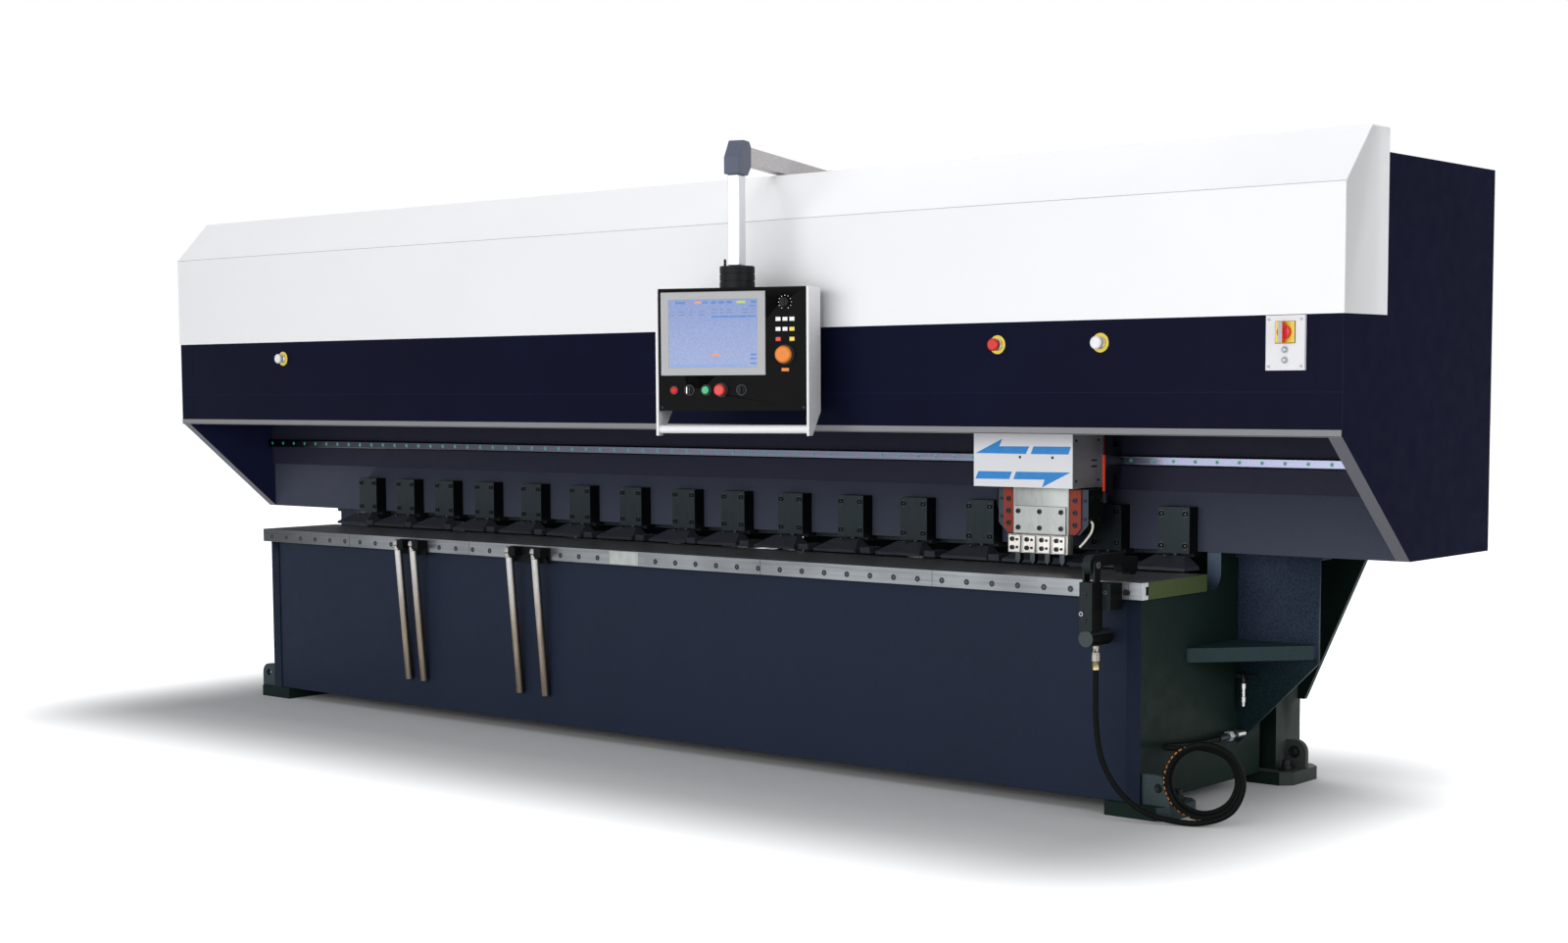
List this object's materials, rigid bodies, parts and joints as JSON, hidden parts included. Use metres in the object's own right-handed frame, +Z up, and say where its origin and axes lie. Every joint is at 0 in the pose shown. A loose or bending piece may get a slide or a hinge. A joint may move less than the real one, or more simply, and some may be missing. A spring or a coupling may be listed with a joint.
{
  "type": "sheet-metal V-grooving machine",
  "caption": "Vertical V-grooving machine for sheet metal: long table, press feet, tool head running on rails under a hood, and a swinging control pendant.",
  "frame": {"origin": "on the floor at the middle of the bounding box", "axes": "+X along the table to the operator's right, +Y to the machine's rear, +Z up"},
  "size_m": [5.6946, 1.423, 2.172],
  "materials": {
    "aluminium": "satin anodised",
    "beam_blue": "satin paint",
    "black_paint": "black powder coat",
    "black_steel": "blackened steel",
    "brass": "turned",
    "bright_steel": "machined",
    "button_white": "smooth",
    "dark_steel": "dark painted steel",
    "frame_green": "textured dark paint",
    "green": "smooth",
    "ground_steel": "ground and lightly oiled",
    "navy": "semi-gloss powder coat",
    "orange": "smooth",
    "plate_grey": "light grey satin",
    "red": "smooth",
    "rubber": "braided hose cover",
    "white": "gloss powder coat"
  },
  "bodies": {
    "frame": {"arm_base": "dark_steel", "base_front_panel": "navy", "base_rear_panel": "frame_green", "clamp_cylinder_row": "black_steel", "crossbeam": "beam_blue", "gear_rack": "dark_steel", "hood_cap": "white", "hood_front_panel": "navy", "hood_rear_casing": "navy", "hood_side_left": "navy", "hood_side_right": "navy", "hose_fitting": "brass", "lower_guide_rail": "bright_steel", "main_switch_plate": "plate_grey", "side_clamp_body": "black_steel", "side_clamp_hose": "rubber", "side_frame_left": "frame_green", "side_frame_right": "frame_green", "support_bracket_1": "black_steel", "support_bracket_2": "black_steel", "table_edge_strip": "bright_steel", "table_top": "ground_steel", "upper_guide_rail": "bright_steel", "wall_fitting": "bright_steel"},
    "press_feet": {"press_foot_row": "dark_steel"},
    "carriage": {"carriage_saddle": "dark_steel", "carriage_motor": "black_paint", "head_housing": "dark_steel", "head_cover": "white", "head_air_tube": "orange"},
    "pinion": {"drive_pinion": "bright_steel"},
    "slide": {"tool_slide": "bright_steel", "tool_holder": "bright_steel"},
    "screw": {"feed_screw": "bright_steel"},
    "gauge": {"backgauge_beam": "bright_steel"},
    "gauge_screw": {"backgauge_screw": "bright_steel"},
    "arm": {"arm_tube": "aluminium", "arm_elbow": "dark_steel", "drop_tube": "aluminium"},
    "pendant": {"pendant_swivel": "black_paint", "pendant_box": "black_paint", "pendant_handle_frame": "aluminium", "pendant_screen": "plate_grey"},
    "clamp_lever": {"side_clamp_lever": "black_steel"},
    "hold_button": {"feed_hold_mushroom": "orange"},
    "stop_mushroom": {"emergency_stop": "red"},
    "cycle_button": {"green_button": "green"},
    "knob": {"speed_knob": "black_steel"},
    "key": {"key_switch": "bright_steel"},
    "selector": {"mode_selector": "black_steel"},
    "left_button": {"hood_button_left": "button_white"},
    "red_button": {"hood_button_red": "red"},
    "right_button": {"hood_button_right": "button_white"},
    "switch_handle": {"main_switch_handle": "red"},
    "start": {"start_button": "green"},
    "stop": {"stop_button": "red"},
    "support_1": {"support_arm_1": "bright_steel"},
    "support_2": {"support_arm_2": "bright_steel"},
    "support_3": {"support_arm_3": "bright_steel"},
    "support_4": {"support_arm_4": "bright_steel"}
  },
  "joints": [
    {"name": "press_stroke", "type": "slide", "parent": "frame", "child": "press_feet", "axis": [0, 0, 1], "range_m": [-0.0077, 0]},
    {"name": "carriage_slide", "type": "slide", "parent": "frame", "child": "carriage", "axis": [1, 0, 0], "range_m": [-3.83, 0.47]},
    {"name": "pinion_spin", "type": "hinge", "parent": "carriage", "child": "pinion", "pos_m": [1.5, 0.1065, 1.27], "axis": [0, 1, 0], "range_deg": [-680, 5500]},
    {"name": "tool_feed", "type": "slide", "parent": "carriage", "child": "slide", "axis": [0, 0, 1], "range_m": [-0.015, 0.06]},
    {"name": "feed_screw_spin", "type": "hinge", "parent": "carriage", "child": "screw", "pos_m": [1.68, -0.0785, 1.2], "axis": [0, 0, 1], "range_deg": [-545, 2165]},
    {"name": "gauge_slide", "type": "slide", "parent": "frame", "child": "gauge", "axis": [0, 1, 0], "range_m": [-0.1, 0.33]},
    {"name": "gauge_screw_spin", "type": "hinge", "parent": "frame", "child": "gauge_screw", "pos_m": [0, 0.2925, 0.705], "axis": [0, 1, 0], "range_deg": [-1810, 5950]},
    {"name": "arm_swing", "type": "hinge", "parent": "frame", "child": "arm", "pos_m": [0.341, 0.3795, 2.1], "axis": [0, 0, 1], "range_deg": [-35, 0]},
    {"name": "pendant_turn", "type": "hinge", "parent": "arm", "child": "pendant", "pos_m": [0.71561, -0.54768, 1.7], "axis": [0, 0, 1], "range_deg": [-30, 10]},
    {"name": "hold_press", "type": "slide", "parent": "pendant", "child": "hold_button", "axis": [-0.3746, 0.9272, 0], "range_m": [0, 0.004], "stiffness_N_per_m": 400},
    {"name": "stop_press", "type": "slide", "parent": "pendant", "child": "stop_mushroom", "axis": [-0.3746, 0.9272, 0], "range_m": [0, 0.004], "stiffness_N_per_m": 400},
    {"name": "cycle_press", "type": "slide", "parent": "pendant", "child": "cycle_button", "axis": [-0.3746, 0.9272, 0], "range_m": [0, 0.004], "stiffness_N_per_m": 400},
    {"name": "knob_turn", "type": "hinge", "parent": "pendant", "child": "knob", "pos_m": [0.91369, -0.53075, 1.6221], "axis": [-0.3746, 0.9272, 0], "range_deg": [-150, 150]},
    {"name": "key_turn", "type": "hinge", "parent": "pendant", "child": "key", "pos_m": [0.59381, -0.65999, 1.3291], "axis": [-0.3746, 0.9272, 0], "range_deg": [0, 90]},
    {"name": "selector_turn", "type": "hinge", "parent": "pendant", "child": "selector", "pos_m": [0.76858, -0.58937, 1.3291], "axis": [-0.3746, 0.9272, 0], "range_deg": [0, 90]},
    {"name": "left_press", "type": "slide", "parent": "frame", "child": "left_button", "axis": [0, 1, 0], "range_m": [0, 0.004], "stiffness_N_per_m": 400},
    {"name": "red_press", "type": "slide", "parent": "frame", "child": "red_button", "axis": [0, 1, 0], "range_m": [0, 0.004], "stiffness_N_per_m": 400},
    {"name": "right_press", "type": "slide", "parent": "frame", "child": "right_button", "axis": [0, 1, 0], "range_m": [0, 0.004], "stiffness_N_per_m": 400},
    {"name": "switch_turn", "type": "hinge", "parent": "frame", "child": "switch_handle", "pos_m": [2.667, -0.3485, 1.49], "axis": [0, 1, 0], "range_deg": [0, 90]},
    {"name": "start_press", "type": "slide", "parent": "frame", "child": "start", "axis": [0, 1, 0], "range_m": [0, 0.003], "stiffness_N_per_m": 300},
    {"name": "stop_press_small", "type": "slide", "parent": "frame", "child": "stop", "axis": [0, 1, 0], "range_m": [0, 0.003], "stiffness_N_per_m": 300},
    {"name": "support_1_swing", "type": "hinge", "parent": "frame", "child": "support_1", "pos_m": [-1.265, -0.4085, 0.713], "axis": [-1, 0, 0], "range_deg": [0, 95]},
    {"name": "support_2_swing", "type": "hinge", "parent": "frame", "child": "support_2", "pos_m": [-1.172, -0.4085, 0.713], "axis": [-1, 0, 0], "range_deg": [0, 95]},
    {"name": "support_3_swing", "type": "hinge", "parent": "frame", "child": "support_3", "pos_m": [-0.6, -0.4085, 0.713], "axis": [-1, 0, 0], "range_deg": [0, 95]},
    {"name": "support_4_swing", "type": "hinge", "parent": "frame", "child": "support_4", "pos_m": [-0.457, -0.4085, 0.713], "axis": [-1, 0, 0], "range_deg": [0, 95]},
    {"name": "lever_clamp", "type": "hinge", "parent": "frame", "child": "clamp_lever", "pos_m": [2.086, -0.4675, 0.791], "axis": [1, 0, 0], "range_deg": [-2.5, 25]}
  ],
  "couplings": [
    {"joint": "pinion_spin", "follows": "carriage_slide", "rad_per_m": -25},
    {"joint": "feed_screw_spin", "follows": "tool_feed", "rad_per_m": 628.32},
    {"joint": "gauge_screw_spin", "follows": "gauge_slide", "rad_per_m": 314.16}
  ]
}
